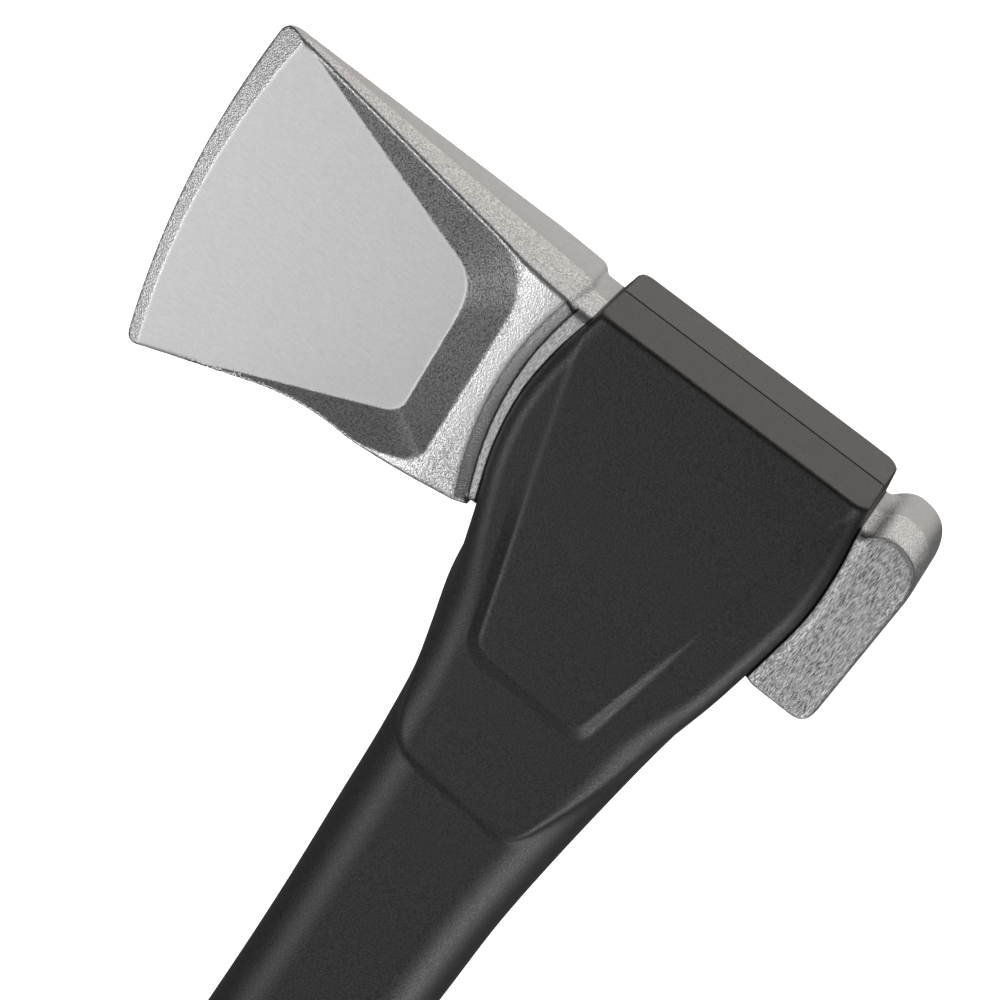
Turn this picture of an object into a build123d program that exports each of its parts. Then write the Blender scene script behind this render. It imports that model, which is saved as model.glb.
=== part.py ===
"""Splitting hatchet: a forged steel head whose waist is held in a moulded, glass-filled nylon handle.

Frame in millimetres: +Z runs up the handle to the head, +X points to the cutting edge and Y is the
thickness. The origin is the middle of the flat butt face, and the object is symmetric about Y = 0.
"""

import os
from build123d import *

os.makedirs("parts", exist_ok=True)

# ---- driving dimensions ------------------------------------------------------------------------
# steel head, side view
toe = (119.2, 443.6)  # upper end of the cutting edge
edge_radius = 204.0  # the cutting edge is an arc about this centre
edge_centre = (-83.3, 430.2)
heel = (110.8, 368.6)  # lower end of the cutting edge
beard_knee = (71.5, 386.4)  # where the beard turns into the shoulder's lower side
beard_radius = 45.0
shoulder_top = (45.0, 440.2)
shoulder_middle = (45.5, 418.0)
shoulder_bottom = (40.4, 390.6)

# steel head, thickness to one side of the middle plane
shoulder_half = 14.2
shoulder_land = 6.5  # length of the flat band behind the wedge
shoulder_rear_margin = 1.0  # how far the wedge's outline runs on behind the shoulder
ridge_chamfer = 1.6  # along the rear edge of each shoulder
wedge_half_at_toe = 2.2
bevel_length = 5.6  # radial length of the honed edge bevel
bevel_half = 2.5  # half thickness where the bevel meets the cheek
bevel_reach = 70.0  # how far in the bevel's cone is continued

# the ground cheek, a shallow hollow on each side of the wedge
cheek_half_front = 2.4  # half thickness of the cheek plane at cheek_front_x
cheek_front_x = 115.0
cheek_slope = 0.082  # gain in half thickness for each millimetre towards the poll
cheek_tilt = 0.022  # loss of half thickness for each millimetre towards the heel
cheek_corner_top = (61.0, 427.6)
cheek_corner_bottom = (58.4, 395.4)
cheek_rise = 0.294  # slope of the cheek's upper boundary in side view
cheek_fall = 0.535  # slope of its lower boundary
cheek_corner_radius = 5.0
hollow_depth = 8.0  # height of the cutter, more than the cove is deep
cove_run_top = 17.4  # how far each wall of the cove leans out over hollow_depth
cove_run_rear = 10.7
cove_run_bottom = 6.4
past_edge_x = 128.0  # in front of the whole cutting edge

# waist and poll
waist_half = 12.6
waist_top = 438.6
waist_bottom = 398.0
waist_radius = 4.0
poll_front_x = -28.6
poll_rear_x = -40.9
poll_half = 14.2
poll_top = 441.8
poll_bottom = 399.7
poll_radius = 4.5
poll_edge_radius = 3.0
cove_reach = 5.0  # length of the slope that joins the waist to the poll

# handle: cross-sections, each (height, front x, rear x, half thickness, corner radius)
collar_stations = [
    (443.4, 37.0, -24.2, 15.4, 3.0),
    (438.0, 37.9, -25.2, 15.7, 3.4),
    (430.0, 39.0, -26.7, 16.2, 4.0),
    (418.0, 40.0, -27.3, 16.8, 5.0),
    (406.0, 38.0, -26.2, 17.1, 6.0),
    (392.0, 34.9, -24.7, 16.6, 7.5),
    (376.0, 32.4, -22.4, 15.8, 8.5),
    (360.0, 28.9, -21.0, 15.4, 9.0),
    (336.0, 25.0, -19.4, 15.0, 9.0),
]
shaft_stations = [
    (400.0, 34.0, -23.5, 14.5, 11.0),
    (376.0, 32.3, -22.3, 14.8, 12.3),
    (358.0, 28.5, -20.8, 14.5, 12.3),
    (340.0, 25.4, -19.5, 14.2, 12.0),
    (320.0, 22.8, -18.6, 13.9, 11.8),
    (296.0, 20.7, -18.9, 13.5, 11.6),
    (250.0, 18.2, -18.2, 13.0, 11.2),
    (200.0, 17.2, -17.4, 12.8, 11.0),
]
grip_stations = [
    (160.0, 17.0, -17.2, 12.8, 11.0),
    (110.0, 17.6, -17.6, 13.0, 11.2),
    (60.0, 18.0, -18.4, 13.0, 11.2),
    (34.0, 20.0, -19.6, 13.2, 11.4),
]
collar_top_chamfer = 1.2

# raised flat panel on each side of the collar, side view, which the collar swallows at the top
panel_outline = [
    (30.4, 412.0),
    (17.5, 371.5),
    (-6.8, 370.5),
    (-15.6, 412.0),
]
panel_half = 17.7  # half thickness at the panel's foot, at panel_foot_z
panel_foot_z = 370.5
panel_lean = 0.026  # loss of half thickness for each millimetre upwards
panel_corner = 3.0
panel_rise = 3.5
panel_taper = 58.0  # degrees that the panel's sides lean

wall = 3.6  # thickness of the hollow shaft's wall
cavity_top = 372.0

# the collar ends below in a rounded step that lies on each side of the shaft, side view
tongue_outline = [
    (52.0, 450.0),
    (46.0, 445.0),
    (21.0, 342.8),
    (-10.5, 340.3),
    (-20.0, 363.0),
    (-36.0, 445.0),
    (-42.0, 450.0),
]
tongue_corner = 6.0

# rubber sleeve and butt cap
sleeve_skin = 1.8  # depth of the recess that the sleeve lies in
sleeve_proud = 0.5
groove_pitch = 9.0
groove_width = 2.2
groove_depth = 0.8
groove_count = 12
first_groove = 47.0
cap_stations = [
    (34.0, 20.0, -19.6, 13.2, 11.4),
    (26.0, 21.4, -20.2, 13.8, 11.8),
    (18.0, 24.6, -21.6, 15.2, 13.0),
    (9.0, 27.0, -23.6, 16.2, 13.9),
    (3.0, 25.5, -24.0, 15.4, 13.2),
    (0.0, 22.5, -22.5, 13.5, 11.6),
]
spigot_top = 64.0
spigot_gap = 0.1
hang_hole_radius = 4.0
hang_hole_at = (12.0, 14.0)  # x and height

big = 300.0  # longer than the object is in any direction that a cutter has to pass


def oval(height, front, rear, half, corner):
    """One cross-section of the handle, lying at a height."""
    with BuildSketch(Plane.XY.offset(height)) as section:
        with Locations(((front + rear) / 2, 0)):
            RectangleRounded(front - rear, 2 * half, corner)
    return section.sketch


def grown(stations, growth):
    """The same stations with every side moved out by growth, or in when it is negative."""
    return [
        (height, front + growth, rear - growth, half + growth, corner + growth)
        for height, front, rear, half, corner in stations
    ]


# ---- steel head --------------------------------------------------------------------------------
def wedge_half(x):
    """Half thickness of the wedge's straight upper edge at x."""
    share = (toe[0] - x) / (toe[0] - shoulder_top[0] - shoulder_land)
    return wedge_half_at_toe + share * (shoulder_half - wedge_half_at_toe)


# cutter for one cheek: its floor is the cheek, its leaning walls are the cove around it
cheek_plane = Plane(
    origin=(cheek_front_x, cheek_half_front, toe[1]),
    x_dir=(-1, cheek_slope, 0),
    z_dir=(cheek_slope, 1, -cheek_tilt),
)
beyond = cheek_front_x - past_edge_x
top_corner = (cheek_front_x - cheek_corner_top[0], cheek_corner_top[1] - toe[1])
bottom_corner = (cheek_front_x - cheek_corner_bottom[0], cheek_corner_bottom[1] - toe[1])
floor_top_front = top_corner[1] + cheek_rise * (top_corner[0] - beyond)
floor_bottom_front = bottom_corner[1] - cheek_fall * (bottom_corner[0] - beyond)

with BuildPart() as hollow:
    with BuildSketch(cheek_plane):
        with BuildLine():
            Polyline(
                (beyond, floor_top_front),
                top_corner,
                bottom_corner,
                (beyond, floor_bottom_front),
                close=True,
            )
        make_face()
    with BuildSketch(cheek_plane.offset(hollow_depth)):
        with BuildLine():
            Polyline(
                (beyond, floor_top_front + cove_run_top),
                (top_corner[0] + cove_run_rear, top_corner[1] + cove_run_top),
                (bottom_corner[0] + cove_run_rear, bottom_corner[1] - cove_run_bottom),
                (beyond, floor_bottom_front - cove_run_bottom),
                close=True,
            )
        make_face()
    loft(ruled=True)
    # from the poll's side: the rear wall's far edge, its two ends, then the floor's rear edge
    rear_corners = hollow.edges().sort_by(Axis.X)[1:3]
    fillet(rear_corners, radius=cheek_corner_radius)

with BuildPart() as blade:
    # blade and shoulder: side outline, then the wedge in plan view, then the round honed bevel
    with BuildSketch(Plane.XZ):
        with BuildLine():
            Line(toe, shoulder_top)
            ThreePointArc(shoulder_top, shoulder_middle, shoulder_bottom)
            FilletPolyline(shoulder_bottom, beard_knee, heel, radius=beard_radius)
            Line(heel, (past_edge_x, heel[1]))
            Line((past_edge_x, heel[1]), (past_edge_x, toe[1]))
            Line((past_edge_x, toe[1]), toe)
        make_face()
    extrude(amount=shoulder_half, both=True)
    ridges = blade.edges().filter_by(GeomType.CIRCLE).sort_by(Axis.X)[:2]
    chamfer(ridges, length=ridge_chamfer)
    with BuildSketch(Plane.XY):
        with BuildLine():
            Polyline(
                (past_edge_x, 0),
                (past_edge_x, wedge_half(past_edge_x)),
                (shoulder_top[0] + shoulder_land, shoulder_half),
                (shoulder_bottom[0] - shoulder_rear_margin, shoulder_half),
                (shoulder_bottom[0] - shoulder_rear_margin, 0),
            )
            mirror(about=Plane.XZ)
        make_face()
    extrude(amount=2 * big, mode=Mode.INTERSECT)
    with BuildSketch(Plane.XY.offset(edge_centre[1])):
        with BuildLine():
            Polyline(
                (edge_centre[0], 0),
                (edge_centre[0] + edge_radius, 0),
                (edge_centre[0] + edge_radius - bevel_reach, bevel_reach * bevel_half / bevel_length),
                (edge_centre[0], bevel_reach * bevel_half / bevel_length),
                close=True,
            )
        make_face()
        mirror(about=Plane.XZ)
    revolve(axis=Axis((edge_centre[0], 0, edge_centre[1]), (0, 1, 0)), mode=Mode.INTERSECT)
    add(hollow.part, mode=Mode.SUBTRACT)
    add(mirror(hollow.part, about=Plane.XZ), mode=Mode.SUBTRACT)

# waist and poll, which grow out of the shoulder's rear
waist_height = waist_top - waist_bottom
poll_height = poll_top - poll_bottom
with BuildPart() as rear:
    with BuildSketch(Plane.YZ.offset(poll_rear_x)):
        with Locations((0, (poll_top + poll_bottom) / 2)):
            RectangleRounded(2 * poll_half, poll_height, poll_radius)
    extrude(amount=poll_front_x - poll_rear_x)
    fillet(rear.faces().sort_by(Axis.X)[0].edges(), radius=poll_edge_radius)
    with BuildSketch(Plane.YZ.offset(poll_front_x)):
        with Locations((0, (poll_top + poll_bottom) / 2)):
            RectangleRounded(2 * poll_half, poll_height, poll_radius)
    with BuildSketch(Plane.YZ.offset(poll_front_x + cove_reach)):
        with Locations((0, (waist_top + waist_bottom) / 2)):
            RectangleRounded(2 * waist_half, waist_height, waist_radius)
    loft()
    with BuildSketch(Plane.YZ.offset(poll_front_x + cove_reach)):
        with Locations((0, (waist_top + waist_bottom) / 2)):
            RectangleRounded(2 * waist_half, waist_height, waist_radius)
    extrude(amount=shoulder_top[0] - poll_front_x)

with BuildPart() as head:
    add(blade.part)
    add(rear.part)
head.part.label = "head"
export_step(head.part, "parts/head.step")

# ---- nylon handle ------------------------------------------------------------------------------
whole_shaft = shaft_stations + grip_stations

with BuildPart() as cavity:
    loft([oval(*station) for station in grown(whole_shaft, -wall)])
    split(bisect_by=Plane.XY.offset(cavity_top), keep=Keep.BOTTOM)

with BuildPart() as sleeve_core:
    loft([oval(*station) for station in grown(grip_stations, -sleeve_skin)])

with BuildPart() as sleeve:
    loft([oval(*station) for station in grown(grip_stations, sleeve_proud)])
    add(sleeve_core.part, mode=Mode.SUBTRACT)

panel_plane = Plane(
    origin=(0, panel_half, panel_foot_z),
    x_dir=(-1, 0, 0),
    z_dir=(0, 1, panel_lean),
)
with BuildPart() as panel:
    with BuildSketch(panel_plane):
        with BuildLine():
            Polyline(*[(-x, z - panel_foot_z) for x, z in panel_outline], close=True)
        make_face()
        fillet(vertices(), radius=panel_corner)
    extrude(amount=-panel_rise, taper=-panel_taper)

with BuildPart() as collar:
    loft([oval(*station) for station in collar_stations])
    top_rim = collar.faces().sort_by(Axis.Z)[-1].edges()
    chamfer(top_rim, length=collar_top_chamfer)
    with BuildSketch(Plane.XZ):
        with BuildLine():
            Polyline(*tongue_outline, close=True)
        make_face()
        fillet(vertices().sort_by(Axis.Y)[:2], radius=tongue_corner)
    extrude(amount=big, both=True, mode=Mode.INTERSECT)

with BuildPart() as handle:
    loft([oval(*station) for station in whole_shaft])
    add(collar.part)
    add(panel.part)
    add(mirror(panel.part, about=Plane.XZ))
    add(cavity.part, mode=Mode.SUBTRACT)
    add(sleeve.part, mode=Mode.SUBTRACT)
    add(head.part, mode=Mode.SUBTRACT)
handle.part.label = "handle"
export_step(handle.part, "parts/handle.step")

# ---- rubber sleeve -----------------------------------------------------------------------------
with BuildPart() as groove_floor:
    loft([oval(*station) for station in grown(grip_stations, sleeve_proud - groove_depth)])

with BuildPart() as grooves:
    for index in range(groove_count):
        with Locations((0, 0, first_groove + index * groove_pitch)):
            Box(big, big, groove_width)
    add(groove_floor.part, mode=Mode.SUBTRACT)

with BuildPart() as grip:
    add(sleeve.part)
    add(grooves.part, mode=Mode.SUBTRACT)
grip.part.label = "grip"
export_step(grip.part, "parts/grip.step")

# ---- butt cap ----------------------------------------------------------------------------------
with BuildPart() as spigot:
    loft([oval(*station) for station in grown(whole_shaft, -wall - spigot_gap)])
    split(bisect_by=Plane.XY.offset(spigot_top), keep=Keep.BOTTOM)

with BuildPart() as end_cap:
    loft([oval(*station) for station in cap_stations])
    add(spigot.part)
    with BuildSketch(Plane.XZ):
        with Locations(hang_hole_at):
            Circle(hang_hole_radius)
    extrude(amount=big, both=True, mode=Mode.SUBTRACT)
end_cap.part.label = "end_cap"
export_step(end_cap.part, "parts/end_cap.step")
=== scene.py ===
"""Splitting hatchet: detailed surfaces, materials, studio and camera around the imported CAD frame.

Shapes are written as fields in millimetres, negative inside the solid, in the CAD model's frame:
+Z up the handle, +X to the cutting edge, Y the thickness. Each field is meshed on its own grid.
"""

import math

import bpy
import numpy as np
from mathutils import Matrix, Vector


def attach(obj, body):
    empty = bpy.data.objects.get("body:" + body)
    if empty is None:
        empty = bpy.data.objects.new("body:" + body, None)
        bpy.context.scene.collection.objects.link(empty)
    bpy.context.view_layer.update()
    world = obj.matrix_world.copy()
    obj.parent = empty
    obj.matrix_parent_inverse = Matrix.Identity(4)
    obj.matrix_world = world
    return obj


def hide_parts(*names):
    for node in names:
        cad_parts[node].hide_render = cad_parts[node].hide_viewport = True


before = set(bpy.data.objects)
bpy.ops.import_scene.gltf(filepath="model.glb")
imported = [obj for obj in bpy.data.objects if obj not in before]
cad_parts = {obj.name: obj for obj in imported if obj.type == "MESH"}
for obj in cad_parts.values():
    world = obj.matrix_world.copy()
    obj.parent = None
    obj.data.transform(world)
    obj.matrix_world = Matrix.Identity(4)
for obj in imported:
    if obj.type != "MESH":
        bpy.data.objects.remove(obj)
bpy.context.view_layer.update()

MM = 0.001

# ---- driving dimensions, in millimetres --------------------------------------------------------
EDGE_CENTRE = (-83.3, 430.2)  # the cutting edge is an arc about this point
EDGE_RADIUS = 204.0
BEVEL_SLOPE = 0.446
TOE = (119.2, 443.6)
TOP_SLOPE = 0.046
TOP_CROWN = 0.07  # fall of the top for each millimetre to either side
CROWN_ROUNDING = 3.0
HEEL_LINE = (95.9, 375.8, -0.456)  # x, z and slope of the beard's long lower edge
BELLY_LINE = (71.0, 385.8, -0.19)  # the same for the shoulder's lower side
SHOULDER_X = 46.3
SHOULDER_BOW = (423.0, 0.0075)  # z at which the ridge is foremost, and how fast it bows back
SHOULDER_HALF = 14.2
WEDGE_HALF_AT_TOE = 2.2
WEDGE_SLOPE = 0.1773
WEDGE_SCALE, RIDGE_SCALE = 0.93, 0.84  # make distances of the sloping sides
CHEEK = (115.0, 2.4, 0.082)  # x, half thickness there at the toe, and slope of the ground cheek
CHEEK_TILT = 0.022  # it also gets thinner towards the heel
CHEEK_TOP = (115.5, 443.6, 0.294)  # x, z and slope of the cheek's upper boundary
CHEEK_REAR = (58.3, 398.6, 0.08)  # x, z and lean of its rear boundary
CHEEK_LOW = (61.4, 394.1, -0.514)  # x, z and slope of its lower boundary
COVE_TOP_SLOPE = 0.46
COVE_LOW_SLOPE = 1.25
COVE_REAR_SLOPE = (0.75, 0.003, 413.0)  # slope, its fall with height, and z of that slope
RIDGE_RUN = 2.7  # length of the chamfer behind the shoulder's ridge
RIDGE_SLOPE = 0.5
SHOULDER_TOP_SLOPE = 0.6  # fall of the top behind the ridge
WAIST_HALF = SHOULDER_HALF - RIDGE_RUN * RIDGE_SLOPE
WAIST_X = (-30.0, 50.0)
WAIST_TOP = 438.6
WAIST_LOW = (38.0, 392.9, -0.119)  # x, z and slope of its lower side
POLL_X = (-40.9, -22.0)
POLL_Z = (399.7, 441.8)
POLL_HALF = 14.2
POLL_EASE = 1.8  # how far behind the collar the poll's sides start to narrow
POLL_EASE_SLOPE = 0.8
POLL_VALLEY = (-25.0, 4.2, 2.8)  # x, width and depth of the dip in its top

# handle sections: height, front x, rear x, half thickness, corner radius
COLLAR = (
    (330.0, 24.0, -19.0, 15.0, 9.0),
    (345.0, 25.8, -19.8, 15.2, 9.0),
    (360.0, 27.6, -21.0, 15.4, 9.0),
    (376.0, 30.8, -22.4, 15.8, 8.6),
    (392.0, 34.9, -24.8, 16.3, 5.4),
    (406.0, 39.2, -26.5, 16.75, 4.5),
    (418.0, 40.9, -27.6, 16.6, 4.0),
    (430.0, 40.1, -26.7, 16.2, 3.6),
    (438.0, 38.5, -25.2, 15.7, 3.2),
    (445.0, 37.0, -23.8, 15.3, 3.0),
)
SHAFT = (
    (0.0, 20.0, -19.6, 13.2, 11.4),
    (34.0, 20.0, -19.6, 13.2, 11.4),
    (60.0, 18.0, -18.4, 13.0, 11.2),
    (110.0, 17.6, -17.6, 13.0, 11.2),
    (160.0, 17.0, -17.2, 12.8, 11.0),
    (200.0, 17.2, -17.4, 12.8, 11.0),
    (250.0, 18.2, -18.2, 13.0, 11.2),
    (296.0, 20.7, -18.9, 13.5, 11.6),
    (320.0, 22.8, -18.6, 13.9, 11.8),
    (340.0, 24.6, -19.5, 14.2, 12.0),
    (358.0, 27.2, -20.8, 14.5, 12.3),
    (376.0, 32.3, -22.3, 14.8, 12.3),
    (400.0, 34.0, -23.5, 14.5, 11.0),
)
CAP = (
    (-1.0, 21.0, -21.0, 12.0, 11.0),
    (0.0, 22.5, -22.5, 13.5, 11.6),
    (3.0, 25.5, -24.0, 15.4, 13.2),
    (9.0, 27.0, -23.6, 16.2, 13.9),
    (18.0, 24.6, -21.6, 15.2, 13.0),
    (26.0, 21.4, -20.2, 13.8, 11.8),
    (34.0, 20.0, -19.6, 13.2, 11.4),
    (40.0, 19.4, -19.2, 13.1, 11.3),
)
# side views as corners (x, z) from front to rear: the collar's step on the shaft, and the panel
TONGUE_CORNERS = ((58.0, 445.0), (21.0, 342.8), (-10.5, 340.3), (-20.0, 363.0), (-36.0, 445.0))
TONGUE_ROUNDING, TONGUE_SLOPE = 6.0, 0.62
PANEL_CORNERS = ((28.9, 406.0), (18.2, 371.5), (-6.8, 370.5), (-14.3, 406.0))
PANEL_ROUNDING, PANEL_SLOPE = 4.0, 0.8
PANEL_HALF = 17.7
PANEL_FOOT = 370.5
PANEL_LEAN = 0.026
CREST = (-24.0, 443.6)  # x and z of the highest point of the collar's top
CREST_TILT = 0.018
ROOF_SLOPE = 0.032
SHAFT_TOP = 398.0
SEAM_DEPTH, SEAM_WIDTH = 0.4, 0.18  # the moulding's parting line
SLEEVE_Z = (34.0, 160.0)
SLEEVE_SKIN = 1.8
SLEEVE_PROUD = 0.5
GROOVE_FIRST, GROOVE_PITCH, GROOVE_COUNT = 47.0, 9.0, 12
GROOVE_WIDTH, GROOVE_DEPTH = 2.2, 0.8
WALL = 3.6
CAVITY_TOP = 372.0
CAP_Z = (0.0, 34.0)
SPIGOT_Z = (26.0, 64.0)
SPIGOT_PLAY = 0.1
HANG_HOLE = (12.0, 14.0, 4.0)


# ---- field algebra -----------------------------------------------------------------------------
def smin(a, b, k):
    """Smaller of two fields, with a fillet of about k where they meet."""
    h = np.maximum(k - np.abs(a - b), 0) / k
    return np.minimum(a, b) - h * h * k / 4


def smax(a, b, k):
    return -smin(-a, -b, k)


def line_height(line, x):
    """Height over x of a line given as (x, z, slope)."""
    return line[1] + line[2] * (x - line[0])


def above_line(line, x, z):
    """Distance above a line given as (x, z, slope)."""
    return (z - line_height(line, x)) / math.hypot(1, line[2])


def outside_span(span, value):
    """Distance outside a span given as (low, high)."""
    return np.abs(value - sum(span) / 2) - (span[1] - span[0]) / 2


def rounded_box(qx, qy, qz, radius):
    """Field of a box from its three one-dimensional distances."""
    qx, qy, qz = qx + radius, qy + radius, qz + radius
    outside = np.sqrt(np.maximum(qx, 0) ** 2 + np.maximum(qy, 0) ** 2 + np.maximum(qz, 0) ** 2)
    return outside + np.minimum(np.maximum(np.maximum(qx, qy), qz), 0) - radius


def along(stations, z):
    """Front x, rear x, half thickness and corner radius at z, smooth through the stations."""
    rows = np.array(stations)
    knots, values = rows[:, 0], rows[:, 1:]
    slopes = np.gradient(values, knots, axis=0)
    i = np.clip(np.searchsorted(knots, z) - 1, 0, len(knots) - 2)
    step = knots[i + 1] - knots[i]
    t = np.clip((z - knots[i]) / step, 0, 1)
    result = []
    for c in range(values.shape[1]):
        v, s = values[:, c], slopes[:, c]
        result.append(
            v[i] * (1 + 2 * t) * (1 - t) ** 2
            + v[i + 1] * t * t * (3 - 2 * t)
            + step * (s[i] * t * (1 - t) ** 2 - s[i + 1] * t * t * (1 - t))
        )
    return result


def oval(stations, x, y, z, growth=0.0):
    """Field of the body whose cross-sections are rounded rectangles."""
    front, rear, half, corner = along(stations, z)
    qx = np.abs(x - (front + rear) / 2) - (front - rear) / 2 + corner
    qy = np.abs(y) - half + corner
    reach = np.sqrt(np.maximum(qx, 0) ** 2 + np.maximum(qy, 0) ** 2)
    return reach + np.minimum(np.maximum(qx, qy), 0) - corner - growth


# ---- the shapes --------------------------------------------------------------------------------
def cove_climb(x, z):
    """Height that the cove has climbed at (x, z); negative on the ground cheek."""
    top = COVE_TOP_SLOPE * above_line(CHEEK_TOP, x, z)
    low = -COVE_LOW_SLOPE * above_line(CHEEK_LOW, x, z)
    steepness = COVE_REAR_SLOPE[0] - COVE_REAR_SLOPE[1] * (z - COVE_REAR_SLOPE[2])
    rear = steepness * (CHEEK_REAR[0] + CHEEK_REAR[2] * (z - CHEEK_REAR[1]) - x)
    return smax(smax(top, rear, 4.0 + 0.45 * np.clip(top, 0, 8)), low, 3.4)


def cheek_half(x, z):
    """Half thickness of the ground cheek."""
    return CHEEK[1] + CHEEK[2] * (CHEEK[0] - x) + CHEEK_TILT * (z - TOE[1])


def bevel_width(x, z):
    """Distance in from the cutting edge at which the bevel reaches the cheek."""
    return cheek_half(x, z) / BEVEL_SLOPE


def rim_depth(x, z):
    """Distance in from the cutting edge."""
    return EDGE_RADIUS - np.hypot(x - EDGE_CENTRE[0], z - EDGE_CENTRE[1])


def shoulder_x(z):
    """X of the shoulder's rear ridge, which bows back more below than above."""
    return SHOULDER_X - SHOULDER_BOW[1] * (z - SHOULDER_BOW[0]) ** 2


def wedge_half(x):
    """Half thickness of the unground wedge and of the flat band behind it."""
    return smin(WEDGE_HALF_AT_TOE + WEDGE_SLOPE * (TOE[0] - x), SHOULDER_HALF, 1.0)


def ground_half(x, z):
    """Half thickness of the ground cheek and of the cove that climbs out of it."""
    return cheek_half(x, z) + smax(cove_climb(x, z), 0, 0.25)


def blade_field(x, y, z):
    """The wedge with its ground cheeks, as far back as the shoulder."""
    half = np.abs(y)
    depth = rim_depth(x, z)
    bevel = (half - depth * BEVEL_SLOPE) / math.hypot(1, BEVEL_SLOPE)
    surface = smin(wedge_half(x), ground_half(x, z), 0.5)
    behind = shoulder_x(z) - x
    ridge = half - SHOULDER_HALF + RIDGE_SLOPE * behind
    sides = smax((half - surface) * WEDGE_SCALE, ridge * RIDGE_SCALE, 0.3)
    crown = TOP_CROWN * (np.sqrt(y * y + CROWN_ROUNDING**2) - CROWN_ROUNDING)
    height = TOE[1] + TOP_SLOPE * (x - TOE[0]) - crown
    top = smax(z - height, z - height + SHOULDER_TOP_SLOPE * behind, 0.5)
    low = smin(-above_line(HEEL_LINE, x, z), -above_line(BELLY_LINE, x, z), 2.5)
    outline = smax(smax(top, low, 1.0), behind - RIDGE_RUN, 0.4)
    outline = smax(outline, -depth, 3.0)
    return smax(smax(sides, outline, 1.0), bevel, 0.12)


def poll_field(x, y, z):
    """The poll, whose sides slope down to the neck along the collar's rear edge."""
    across_z = outside_span(POLL_Z, z)
    across_x = outside_span(POLL_X, x)
    beside_collar = x - along(COLLAR, z)[1] + POLL_EASE
    slope = POLL_EASE_SLOPE * smax(beside_collar, 0, 1.0)
    walls = smax(across_x, np.abs(y) - POLL_HALF + slope, 3.5)
    block = smax(walls, across_z, 1.5)
    valley = POLL_VALLEY[2] * np.exp(-(((x - POLL_VALLEY[0]) / POLL_VALLEY[1]) ** 2))
    corner = smax(smax(across_x, z - POLL_Z[1] + valley, 11.0), POLL_Z[0] - z, 4.0)
    return smax(block, corner, 1.0)


def head_field(x, y, z):
    """Wedge, waist and poll, of which the handle hides most of the waist."""
    across_z = smax(z - WAIST_TOP, line_height(WAIST_LOW, x) - z, 1.0)
    waist = rounded_box(outside_span(WAIST_X, x), np.abs(y) - WAIST_HALF, across_z, 2.0)
    return smin(smin(blade_field(x, y, z), waist, 0.5), poll_field(x, y, z), 1.2)


def outside_corners(corners, rounding, x, z):
    """Distance outside the convex outline whose corners run down its front and up its rear."""
    distance = None
    for (x0, z0), (x1, z1) in zip(corners, corners[1:]):
        length = math.hypot(x1 - x0, z1 - z0)
        beyond = ((x0 - x1) * (z0 - z) - (z0 - z1) * (x0 - x)) / length
        distance = beyond if distance is None else smax(distance, beyond, rounding)
    return distance


def outside_panel(x, z):
    return outside_corners(PANEL_CORNERS, PANEL_ROUNDING, x, z)


def outside_tongue(x, z):
    return outside_corners(TONGUE_CORNERS, TONGUE_ROUNDING, x, z)


def collar_outline(x, z):
    """The collar's field in the middle plane, where it doesn't see how thick the collar is."""
    return oval(COLLAR, x, 0.0, z)


def handle_field(x, y, z):
    """The hollow shaft with the collar, its panels and the recess that the grip fills."""
    half = np.abs(y)
    shaft = smax(oval(SHAFT, x, y, z), z - SHAFT_TOP, 1.0)
    collar = oval(COLLAR, x, y, z)
    top = z - (CREST[1] - CREST_TILT * (x - CREST[0]) - ROOF_SLOPE * half)
    panel = PANEL_HALF - PANEL_LEAN * (z - PANEL_FOOT)
    panel = panel - PANEL_SLOPE * smax(outside_panel(x, z), 0, 0.8)
    pad = smax(half - panel, collar_outline(x, z), 2.0)
    collar = smin(collar, pad, 0.8)
    collar = smax(collar, TONGUE_SLOPE * outside_tongue(x, z), 1.2)
    body = smax(smin(shaft, collar, 1.2), top, 0.9)
    body = body + SEAM_DEPTH * np.exp(-((y / SEAM_WIDTH) ** 2))
    recess = smax(-oval(SHAFT, x, y, z, -SLEEVE_SKIN), z - SLEEVE_Z[1], 0.3)
    body = smax(body, -recess, 0.3)
    body = smax(body, SLEEVE_Z[0] - z, 0.3)
    cavity = smax(oval(SHAFT, x, y, z, -WALL), z - CAVITY_TOP, 6.0)
    return np.maximum(body, -cavity)


def grip_field(x, y, z):
    """The sleeve with its ring grooves."""
    outer = oval(SHAFT, x, y, z, SLEEVE_PROUD)
    index = np.clip(np.round((z - GROOVE_FIRST) / GROOVE_PITCH), 0, GROOVE_COUNT - 1)
    groove = np.abs(z - GROOVE_FIRST - index * GROOVE_PITCH) - GROOVE_WIDTH / 2
    outer = smax(outer, smin(-groove, outer + GROOVE_DEPTH, 0.6), 0.6)
    outer = smax(outer, outside_span(SLEEVE_Z, z), 0.8)
    return np.maximum(outer, -oval(SHAFT, x, y, z, -SLEEVE_SKIN))


def cap_field(x, y, z):
    """The flared butt with its hang hole, and the spigot inside the shaft."""
    body = oval(CAP, x, y, z)
    body = smax(body, outside_span(CAP_Z, z), 0.8)
    spigot = smax(oval(SHAFT, x, y, z, -WALL - SPIGOT_PLAY), outside_span(SPIGOT_Z, z), 1.0)
    hole = HANG_HOLE[2] - np.hypot(x - HANG_HOLE[0], z - HANG_HOLE[1])
    flare = smax(body, hole, 2.4)
    return smax(smin(flare, spigot, 0.2), hole, 0.3)


# ---- meshing -----------------------------------------------------------------------------------
NORMAL_STEP = 0.01
BISECTIONS = 7
CENTRE_PULL = 0.05  # draws a vertex to the middle of its crossings where the surface is flat


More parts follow.
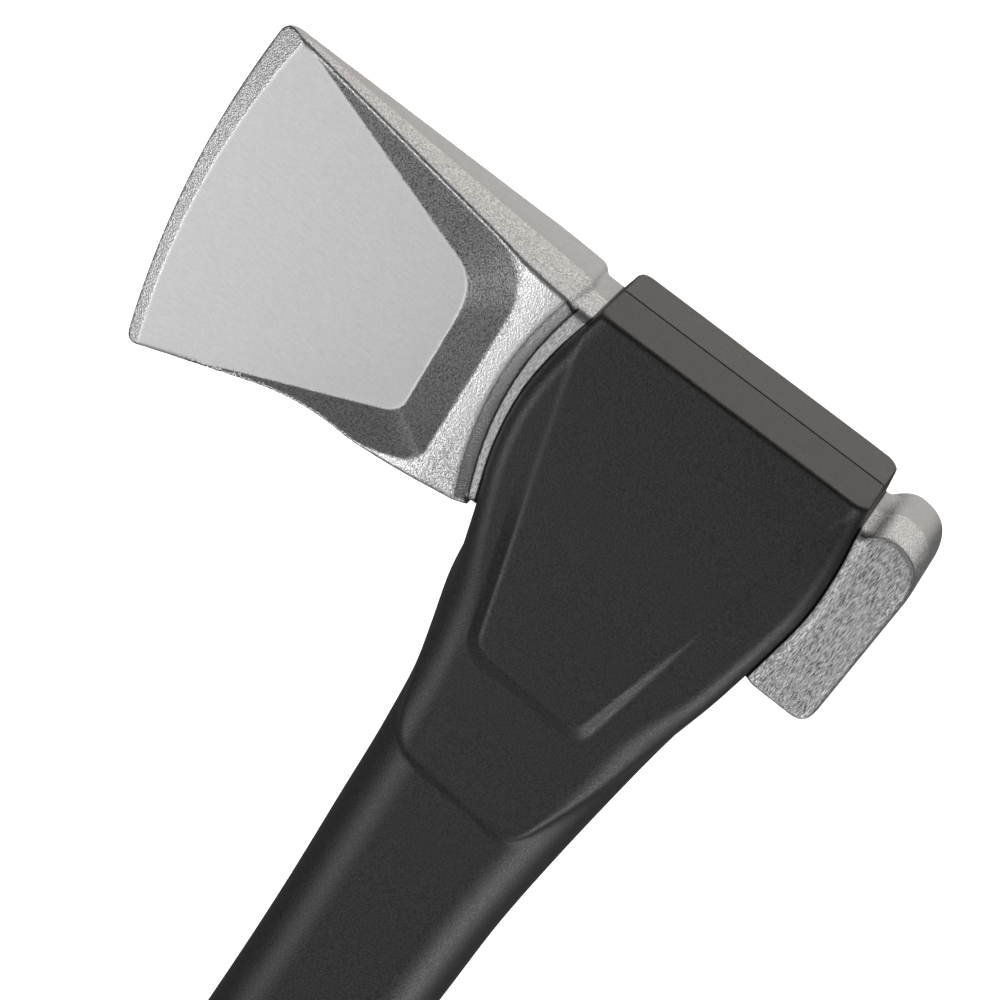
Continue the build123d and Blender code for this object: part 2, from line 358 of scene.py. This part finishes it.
def normals_of(field, points):
    """Unit normals of the field at the points."""
    columns = []
    for axis in np.eye(3) * NORMAL_STEP:
        columns.append(field(*(points + axis).T) - field(*(points - axis).T))
    normals = np.stack(columns, 1)
    return normals / np.maximum(np.linalg.norm(normals, axis=1, keepdims=True), 1e-12)


def crossings(field, low, high):
    """The point of each segment where the surface crosses it."""
    low_inside = field(*low.T) < 0
    for _ in range(BISECTIONS):
        middle = (low + high) / 2
        same = ((field(*middle.T) < 0) == low_inside)[:, None]
        low, high = np.where(same, middle, low), np.where(same, high, middle)
    return (low + high) / 2


def contour(field, axes):
    """Vertices, quads and normals of the field's surface, with sharp edges kept sharp."""
    inside = field(*np.meshgrid(*axes, indexing="ij", sparse=True)) < 0
    nodes = np.array(inside.shape)
    cells, points, normals, quads = [], [], [], []
    for k in range(3):
        u, v = (k + 1) % 3, (k + 2) % 3
        lower = np.take(inside, range(nodes[k] - 1), axis=k)
        upper = np.take(inside, range(1, nodes[k]), axis=k)
        index = np.argwhere(lower != upper)
        low = np.stack([axes[i][index[:, i]] for i in range(3)], 1)
        high = low.copy()
        high[:, k] = axes[k][index[:, k] + 1]
        point = crossings(field, low, high)
        normal = normals_of(field, point)
        ring = []
        for du, dv in ((1, 1), (0, 1), (0, 0), (1, 0)):
            cell = index.copy()
            cell[:, u] -= du
            cell[:, v] -= dv
            ring.append(np.ravel_multi_index(cell.T, nodes - 1))
        outward = lower[tuple(index.T)]
        ring = np.stack(ring, 1)
        quads.append(np.where(outward[:, None], ring, ring[:, ::-1]))
        cells.append(ring.T.ravel())
        points.append(np.tile(point, (4, 1)))
        normals.append(np.tile(normal, (4, 1)))
    cells, points, normals = np.concatenate(cells), np.concatenate(points), np.concatenate(normals)
    ids, slot_of = np.unique(cells, return_inverse=True)
    count = np.bincount(slot_of)

    def total(values):
        return np.bincount(slot_of, weights=values, minlength=len(ids))

    centre = np.stack([total(points[:, i]) / count for i in range(3)], 1)
    offset = ((points - centre[slot_of]) * normals).sum(1)
    matrix = np.empty((len(ids), 3, 3))
    for i in range(3):
        for j in range(3):
            matrix[:, i, j] = total(normals[:, i] * normals[:, j])
    matrix += np.eye(3) * CENTRE_PULL
    target = np.stack([total(normals[:, i] * offset) for i in range(3)], 1)
    vertices = centre + np.linalg.solve(matrix, target[:, :, None])[:, :, 0]
    corner = np.stack(np.unravel_index(ids, nodes - 1), 1)
    for i in range(3):
        vertices[:, i] = np.clip(vertices[:, i], axes[i][corner[:, i]], axes[i][corner[:, i] + 1])
    quads = np.searchsorted(ids, np.concatenate(quads))
    return vertices, quads, normals_of(field, vertices)


def spaced(*runs):
    """Grid planes from runs of (start, end, pitch), each run starting where the last one ends."""
    planes = []
    for start, end, pitch in runs:
        steps = max(1, round((end - start) / pitch))
        planes.append(np.linspace(start, end, steps, endpoint=False))
    return np.append(np.concatenate(planes), runs[-1][1])


def solid(name, field, axes, material, node, marks=()):
    """A piece of the visual model that stands in for one CAD node."""
    vertices, quads, normals = contour(field, axes)
    mesh = bpy.data.meshes.new(name)
    mesh.from_pydata((vertices * MM).tolist(), [], quads.tolist())
    mesh.shade_smooth()
    mesh.normals_split_custom_set_from_vertices(normals.tolist())
    for mark, measure in marks:
        values = measure(*vertices.T).astype(np.float32)
        mesh.attributes.new(mark, "FLOAT", "POINT").data.foreach_set("value", values)
    piece = bpy.data.objects.new(name, mesh)
    bpy.context.scene.collection.objects.link(piece)
    mesh.materials.append(material)
    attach(piece, "root")
    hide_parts(node)


# ---- materials ---------------------------------------------------------------------------------
class Shading:
    """A material and the few node steps that the materials here share."""

    def __init__(self, name, metallic, roughness):
        self.material = bpy.data.materials.new(name)
        self.material.use_nodes = True
        self.tree = self.material.node_tree
        self.shader = self.tree.nodes["Principled BSDF"]
        self.shader.inputs["Metallic"].default_value = metallic
        self.shader.inputs["Roughness"].default_value = roughness
        self.place = self.tree.nodes.new("ShaderNodeTexCoord").outputs["Object"]

    def feed(self, socket, value):
        if isinstance(value, bpy.types.NodeSocket):
            self.tree.links.new(value, socket)
        else:
            socket.default_value = value

    def math(self, operation, a, b=0.0, c=0.0):
        node = self.tree.nodes.new("ShaderNodeMath")
        node.operation = operation
        for socket, value in zip(node.inputs, (a, b, c)):
            self.feed(socket, value)
        return node.outputs[0]

    def noise(self, size, detail=2.0, roughness=0.5, stretch=(1, 1, 1)):
        """Noise from 0 to 1, with features of about size millimetres, or longer by 1 / stretch."""
        mapping = self.tree.nodes.new("ShaderNodeMapping")
        mapping.inputs["Scale"].default_value = [k / (size * MM) for k in stretch]
        self.feed(mapping.inputs["Vector"], self.place)
        node = self.tree.nodes.new("ShaderNodeTexNoise")
        node.inputs["Scale"].default_value = 1.0
        node.inputs["Detail"].default_value = detail
        node.inputs["Roughness"].default_value = roughness
        self.feed(node.inputs["Vector"], mapping.outputs[0])
        return node.outputs["Fac"]

    def grain(self, size, low=0.34, high=0.66):
        """Speckle from 0 to 1 with strong contrast."""
        return self.step(self.noise(size, 2.0, 0.6), low, high)

    def mark(self, name):
        """A measure that solid() has stored at each vertex."""
        node = self.tree.nodes.new("ShaderNodeAttribute")
        node.attribute_name = name
        return node.outputs["Fac"]

    def step(self, value, low, high):
        """0 below low, 1 above high, smooth between; the other way round when low is above high."""
        node = self.tree.nodes.new("ShaderNodeMapRange")
        node.interpolation_type = "SMOOTHSTEP"
        self.feed(node.inputs["Value"], value)
        rising = low < high
        node.inputs["From Min"].default_value = min(low, high)
        node.inputs["From Max"].default_value = max(low, high)
        node.inputs["To Min"].default_value = 0.0 if rising else 1.0
        node.inputs["To Max"].default_value = 1.0 if rising else 0.0
        return node.outputs["Result"]

    def blend(self, fraction, a, b):
        """a where fraction is 0 and b where it is 1, for colours or numbers."""
        node = self.tree.nodes.new("ShaderNodeMix")
        color = isinstance(a, tuple) or isinstance(b, tuple) or getattr(a, "type", "") == "RGBA"
        node.data_type = "RGBA" if color else "FLOAT"
        first, result = (6, 2) if color else (2, 0)
        self.feed(node.inputs[0], fraction)
        for i, value in enumerate((a, b)):
            self.feed(node.inputs[first + i], (*value, 1) if isinstance(value, tuple) else value)
        return node.outputs[result]

    def bump(self, height, distance):
        """Relief of distance millimetres where height is 1."""
        node = self.tree.nodes.new("ShaderNodeBump")
        node.inputs["Strength"].default_value = 1.0
        node.inputs["Distance"].default_value = distance * MM
        self.feed(node.inputs["Height"], height)
        self.feed(self.shader.inputs["Normal"], node.outputs[0])

    def facing(self):
        """How far a face looks to either side and up, each up to 1."""
        geometry = self.tree.nodes.new("ShaderNodeNewGeometry")
        split = self.tree.nodes.new("ShaderNodeSeparateXYZ")
        self.feed(split.inputs[0], geometry.outputs["Normal"])
        return self.math("ABSOLUTE", split.outputs[1]), split.outputs[2]


def grey(level):
    return (level, level, level)


def forged_steel():
    s = Shading("forged steel", 1.0, 0.4)
    fine = s.grain(0.36)
    coarse = s.noise(2.2, 2.0, 0.5)
    ragged = s.math("MULTIPLY_ADD", s.noise(0.9, 3.0, 0.7), 0.9, -0.45)
    sideways, upward = s.facing()
    side = s.step(sideways, 0.45, 0.6)
    ground = s.step(s.math("ADD", s.mark("climb"), ragged), 0.14, -0.02)
    bevel = s.step(s.math("MULTIPLY_ADD", ragged, 0.3, s.mark("bevel")), 0.12, -0.12)
    cheek = s.math("MULTIPLY", s.math("MULTIPLY", ground, side), s.math("SUBTRACT", 1.0, bevel))
    land = s.step(s.math("MULTIPLY_ADD", ragged, 1.5, s.mark("land")), 0.1, 1.0)
    low = s.step(s.mark("z"), 412.0, 394.0)
    # painted light: picks the near half of the top and its rounded near edge, which get a lighter
    # colour than the far half
    lit_near_half = s.math("MAXIMUM", s.step(s.mark("y"), -0.6, 0.6), s.step(upward, 0.8, 0.4))
    behind = s.math("MULTIPLY_ADD", ragged, 0.35, s.mark("behind"))
    chamfer = s.math("MULTIPLY", s.step(behind, 0.12, -0.12), side)
    neck = s.math("MULTIPLY", s.step(behind, -RIDGE_RUN + 0.1, -RIDGE_RUN - 0.1), side)
    # painted shade: a thin dark line along the concave corner where the chamfer meets the neck
    crease_shade = s.step(s.math("ABSOLUTE", s.math("ADD", behind, RIDGE_RUN)), 0.34, 0.1)
    # painted shadow: the steel right beside the collar's outline is painted near black
    collar_shadow = s.step(s.mark("collar_shadow"), 0.55, 0.3)
    poll = s.math("MULTIPLY", s.step(s.mark("x"), -20.0, -21.0), side)
    streaks = s.step(s.noise(0.12, 2.0, 0.7, (1, 1, 0.1)), 0.3, 0.7)
    brushed = s.noise(0.45, 2.0, 0.6, (0.2, 1, 1.0))
    grind = s.math("MULTIPLY_ADD", brushed, 0.6, s.math("MULTIPLY", fine, 0.25))

    # painted light and shade: the far half of the top is painted darker and the near half lighter,
    # as if the two halves were lit differently
    shaded_far_top = s.blend(fine, grey(0.31), grey(0.37))
    top = s.blend(lit_near_half, shaded_far_top, s.blend(fine, grey(0.26), grey(0.68)))
    cove = s.blend(fine, grey(0.12), grey(0.38))
    # painted light: the cove's walls that face upward are painted lighter, as if lit from above
    cove = s.blend(s.step(upward, 0.1, 0.32), cove, s.blend(fine, grey(0.3), grey(0.7)))
    upper_land = s.blend(fine, grey(0.5), grey(0.56))
    lower_land = s.blend(fine, grey(0.32), grey(0.7))
    color = s.blend(side, top, s.blend(land, cove, s.blend(low, upper_land, lower_land)))
    color = s.blend(cheek, color, s.blend(grind, grey(0.36), grey(0.47)))
    color = s.blend(bevel, color, s.blend(fine, grey(0.29), grey(0.44)))
    color = s.blend(chamfer, color, s.blend(coarse, grey(0.15), grey(0.2)))
    color = s.blend(neck, color, s.blend(streaks, grey(0.16), grey(0.56)))
    # painted shade in the crease, on the sides only
    color = s.blend(s.math("MULTIPLY", crease_shade, side), color, grey(0.05))
    # painted light: on the poll's sides, faces that tilt upward are painted much lighter than
    # upright ones, as if lit from above
    upright = s.blend(streaks, grey(0.05), grey(0.56))
    lit_tilted = s.blend(streaks, grey(0.5), grey(0.95))
    color = s.blend(poll, color, s.blend(s.step(upward, 0.2, 0.45), upright, lit_tilted))
    # painted shadow of the collar on the steel
    s.feed(s.shader.inputs["Base Color"], s.blend(collar_shadow, color, grey(0.012)))

    rough = s.math("MULTIPLY_ADD", coarse, 0.1, 0.35)
    rough = s.blend(cheek, rough, 0.58)
    rough = s.blend(poll, rough, 0.44)
    s.feed(s.shader.inputs["Roughness"], rough)

    height = s.math("MULTIPLY_ADD", coarse, 0.6, fine)
    height = s.blend(cheek, height, s.math("MULTIPLY", grind, 0.5))
    height = s.blend(s.math("MAXIMUM", poll, neck), height, streaks)
    s.bump(height, 0.03)
    return s.material


def moulded_nylon():
    s = Shading("black nylon", 0.0, 0.5)
    pebble = s.grain(0.36)
    # mask of the parting line: the bump below gives it real groove relief, and the colour below
    # paints shade into it
    seam = s.step(s.math("ABSOLUTE", s.mark("y")), 0.3, 0.14)
    color = s.blend(pebble, (0.001, 0.001, 0.001), (0.018, 0.017, 0.0165))
    # painted light: the nylon's upward-facing tops are painted a lighter warm grey, standing in for
    # light from above
    lit_top = s.blend(pebble, (0.04, 0.033, 0.028), (0.09, 0.077, 0.067))
    color = s.blend(s.step(s.facing()[1], 0.6, 0.8), color, lit_top)
    # painted shade: the parting line's groove is painted near black
    s.feed(s.shader.inputs["Base Color"], s.blend(seam, color, grey(0.001)))
    around = s.math("MULTIPLY", s.step(s.mark("step"), 0.0, 0.6), s.step(s.mark("step"), 3.4, 2.2))
    front = s.math("MULTIPLY", s.step(s.mark("x"), -8.0, -5.0), s.step(s.mark("z"), 412.0, 392.0))
    shade = s.math("MULTIPLY", around, front)
    rough = s.math("MULTIPLY_ADD", pebble, 0.14, 0.42)
    s.feed(s.shader.inputs["Roughness"], s.blend(shade, rough, 0.85))
    s.shader.inputs["Specular IOR Level"].default_value = 0.4
    s.bump(s.math("SUBTRACT", pebble, s.math("MULTIPLY", seam, 2.0)), 0.022)
    return s.material


def soft_rubber():
    s = Shading("black rubber", 0.0, 0.75)
    dust = s.grain(0.7)
    s.feed(s.shader.inputs["Base Color"], s.blend(dust, grey(0.008), grey(0.026)))
    s.feed(s.shader.inputs["Roughness"], s.math("MULTIPLY_ADD", s.noise(4.0), 0.12, 0.68))
    s.bump(dust, 0.04)
    return s.material


steel, nylon, rubber = forged_steel(), moulded_nylon(), soft_rubber()
place_marks = (
    ("x", lambda x, y, z: x),
    ("y", lambda x, y, z: y),
    ("z", lambda x, y, z: z),
)
steel_marks = (
    ("climb", lambda x, y, z: cove_climb(x, z)),
    ("bevel", lambda x, y, z: rim_depth(x, z) - bevel_width(x, z)),
    ("behind", lambda x, y, z: x - shoulder_x(z)),
    ("land", lambda x, y, z: ground_half(x, z) - wedge_half(x)),
    # distance from the collar's outline, for the painted shadow beside it
    ("collar_shadow", lambda x, y, z: collar_outline(x, z)),
    *place_marks,
)
nylon_marks = (("step", lambda x, y, z: outside_panel(x, z)), *place_marks)

# grid pitches in millimetres
HEAD_PITCH = 0.45
HANDLE_PITCH = 0.6
SEAM_PITCH = 0.15
SHAFT_PITCH = 2.0
GRIP_PITCH, GROOVE_GRID = 0.8, 0.5
CAP_PITCH = 0.7

solid(
    "steel_head",
    head_field,
    (
        spaced((-43, 122, HEAD_PITCH)),
        spaced((-18, 18, HEAD_PITCH)),
        spaced((366, 446, HEAD_PITCH)),
    ),
    steel,
    "head",
    steel_marks,
)
solid(
    "nylon_handle",
    handle_field,
    (
        spaced((-30, 43, HANDLE_PITCH)),
        spaced((-19.2, -0.6, HANDLE_PITCH), (-0.6, 0.6, SEAM_PITCH), (0.6, 19.2, HANDLE_PITCH)),
        spaced((32, 320, SHAFT_PITCH), (320, 446, HANDLE_PITCH)),
    ),
    nylon,
    "handle",
    nylon_marks,
)
solid(
    "rubber_grip",
    grip_field,
    (
        spaced((-23, 23, GRIP_PITCH)),
        spaced((-15.2, 15.2, GRIP_PITCH)),
        spaced((33, 162, GROOVE_GRID)),
    ),
    rubber,
    "grip",
)
solid(
    "butt_cap",
    cap_field,
    (
        spaced((-26, 30, CAP_PITCH)),
        spaced((-17.5, 17.5, CAP_PITCH)),
        spaced((-1.4, 66, CAP_PITCH)),
    ),
    nylon,
    "end_cap",
    nylon_marks,
)

# ---- studio ------------------------------------------------------------------------------------
FLOOR_REACH = 16.0  # metres to each side
FILL_LEVEL = 0.17
HEAD_AT = Vector((0.04, 0.0, 0.41))
LAMPS = (  # name, place seen from the head, diameter in metres, watts and colour
    ("key softbox", (0.69, 0.96, -0.54), 0.5, 9.4, (1, 1, 1)),
    ("front softbox", (0.07, 1.45, -0.66), 0.6, 1.0, (1, 1, 1)),
    ("poll softbox", (-0.52, 0.26, -0.4), 0.35, 2.8, (1, 1, 1)),
    ("rear softbox", (0.0, -1.6, 0.9), 2.4, 15.5, (1.0, 0.955, 0.915)),
)


def floor():
    mesh = bpy.data.meshes.new("studio_floor")
    s = FLOOR_REACH
    mesh.from_pydata([(-s, -s, 0), (s, -s, 0), (s, s, 0), (-s, s, 0)], [], [(0, 1, 2, 3)])
    plane = bpy.data.objects.new("studio_floor", mesh)
    bpy.context.scene.collection.objects.link(plane)
    paper = Shading("studio paper", 0.0, 0.9)
    paper.shader.inputs["Base Color"].default_value = (0.9, 0.9, 0.9, 1)
    paper.shader.inputs["Emission Color"].default_value = (1, 1, 1, 1)
    paper.shader.inputs["Emission Strength"].default_value = 1.0
    mesh.materials.append(paper.material)
    plane.visible_glossy = False
    plane.visible_diffuse = False
    plane.visible_shadow = False  # some lamps stand lower than the floor


def area_light(name, position, target, size, watts, color):
    data = bpy.data.lights.new(name, "AREA")
    data.shape = "DISK"
    data.size = size
    data.energy = watts
    data.color = color
    lamp = bpy.data.objects.new(name, data)
    lamp.location = position
    lamp.visible_camera = False
    lamp.rotation_euler = (Vector(target) - Vector(position)).to_track_quat("-Z", "Y").to_euler()
    bpy.context.scene.collection.objects.link(lamp)


def studio_world():
    """A white room for the camera, and a dim one for reflections and fill light."""
    world = bpy.data.worlds.new("studio")
    world.use_nodes = True
    tree = world.node_tree
    fill = tree.nodes["Background"]
    fill.inputs["Color"].default_value = (*grey(FILL_LEVEL), 1)
    seen = tree.nodes.new("ShaderNodeBackground")
    seen.inputs["Color"].default_value = (1, 1, 1, 1)
    path = tree.nodes.new("ShaderNodeLightPath")
    mix = tree.nodes.new("ShaderNodeMixShader")
    tree.links.new(path.outputs["Is Camera Ray"], mix.inputs[0])
    tree.links.new(fill.outputs[0], mix.inputs[1])
    tree.links.new(seen.outputs[0], mix.inputs[2])
    tree.links.new(mix.outputs[0], tree.nodes["World Output"].inputs["Surface"])
    bpy.context.scene.world = world


floor()
for name, offset, size, watts, color in LAMPS:
    area_light(name, HEAD_AT + Vector(offset), HEAD_AT, size, watts, color)
studio_world()

# ---- camera ------------------------------------------------------------------------------------
CAMERA_TARGET = Vector((32.63, 0.0, 391.78)) * MM
CAMERA_DISTANCE = 0.8206
CAMERA_YAW = math.radians(2.9)  # to the poll's side of square-on
CAMERA_ELEVATION = math.radians(24.5)
CAMERA_ROLL = math.radians(36.9)
SENSOR_WIDTH = 36.0
LENS_PER_SENSOR = 4.2


def camera():
    data = bpy.data.cameras.new("camera")
    data.sensor_width = SENSOR_WIDTH
    data.lens = SENSOR_WIDTH * LENS_PER_SENSOR
    eye = bpy.data.objects.new("camera", data)
    bpy.context.scene.collection.objects.link(eye)
    level = math.cos(CAMERA_ELEVATION)
    across, outward = -math.sin(CAMERA_YAW) * level, math.cos(CAMERA_YAW) * level
    toward = Vector((across, outward, math.sin(CAMERA_ELEVATION)))
    place = Matrix.Translation(CAMERA_TARGET + toward * CAMERA_DISTANCE)
    turn = (-toward).to_track_quat("-Z", "Y").to_matrix().to_4x4()
    eye.matrix_world = place @ turn @ Matrix.Rotation(CAMERA_ROLL, 4, "Z")
    bpy.context.scene.camera = eye


camera()
bpy.context.scene.view_settings.view_transform = "Standard"
